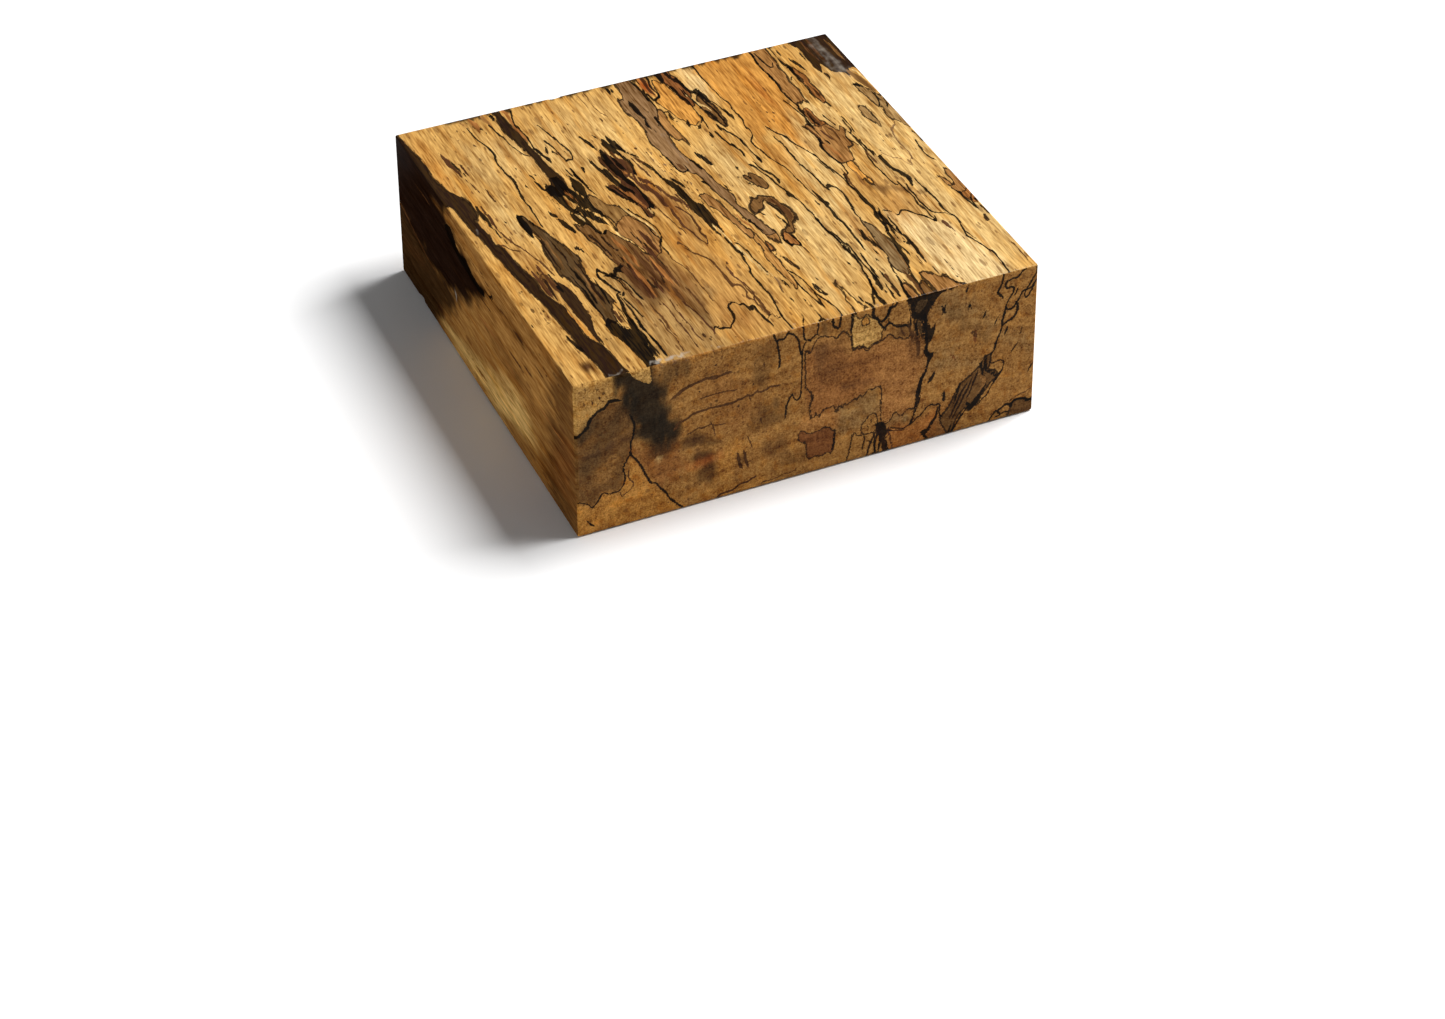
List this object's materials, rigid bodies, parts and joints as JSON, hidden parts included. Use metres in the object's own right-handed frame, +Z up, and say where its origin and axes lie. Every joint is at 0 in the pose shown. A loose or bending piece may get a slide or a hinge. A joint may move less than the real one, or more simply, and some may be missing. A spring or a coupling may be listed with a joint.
{
  "type": "spalted tamarind bowl blank",
  "caption": "Square band-sawn block of spalted tamarind wood under clear wax, to be turned into a bowl on a lathe.",
  "frame": {"origin": "centre of the footprint, on the surface that the block rests on", "axes": "+Z up, +Y along the grain towards the thinner end, +X across the grain"},
  "size_m": [0.153, 0.1532, 0.0554],
  "materials": {
    "waxed_wood": "sawn smooth, dipped in clear wax, low gloss"
  },
  "bodies": {
    "root": {"tamarind_blank": "waxed_wood"}
  },
  "joints": []
}
